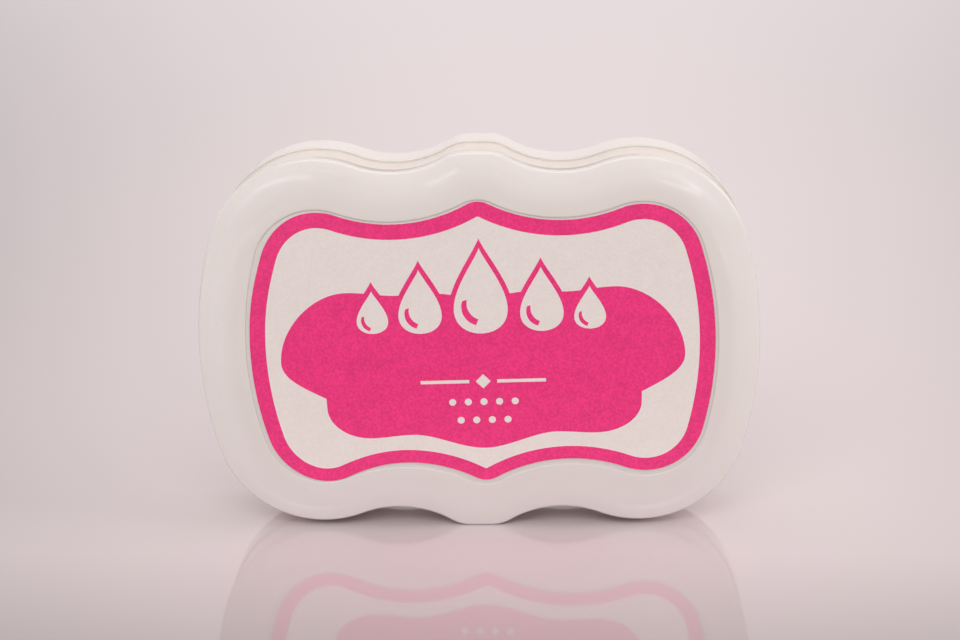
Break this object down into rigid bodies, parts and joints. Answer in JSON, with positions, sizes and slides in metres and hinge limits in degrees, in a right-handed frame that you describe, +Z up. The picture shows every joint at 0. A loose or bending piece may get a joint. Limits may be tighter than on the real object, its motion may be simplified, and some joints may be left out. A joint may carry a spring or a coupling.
{
  "type": "ink pad",
  "caption": "White craft ink pad: two-part wavy plaque case with a printed label, and a cloth-covered pink foam pad in a bezel under a lift-off lid.",
  "frame": {"origin": "on the table under the middle of the case, which stands on the flat of its lower crest with the label facing forward", "axes": "+X along the case to the right as seen facing the label, +Y from the label towards the underside of the base, +Z up the short side of the case"},
  "size_m": [0.0974, 0.02, 0.0672],
  "materials": {
    "case_plastic": "glossy warm white moulded plastic",
    "inner_plastic": "satin white moulded plastic",
    "front_label": "printed satin sticker: pink border and banner on a white field, no lettering",
    "back_label": "blank satin sticker with a pink border",
    "ink_cloth": "fine woven cloth soaked with hot pink dye ink",
    "foam": "open-cell foam soaked with hot pink dye ink",
    "tape": "double-sided foam tape"
  },
  "bodies": {
    "base": {"base_shell": "case_plastic", "base_label": "back_label", "pad_adhesive_tape": "tape", "pad_backing_plate": "inner_plastic", "pad_foam": "foam", "pad_cloth": "ink_cloth", "pad_bezel": "inner_plastic"},
    "lid": {"lid_shell": "case_plastic", "lid_label": "front_label"}
  },
  "joints": [
    {"name": "lid_lift", "type": "slide", "parent": "base", "child": "lid", "axis": [0, -1, 0], "range_m": [0, 0.04]}
  ]
}
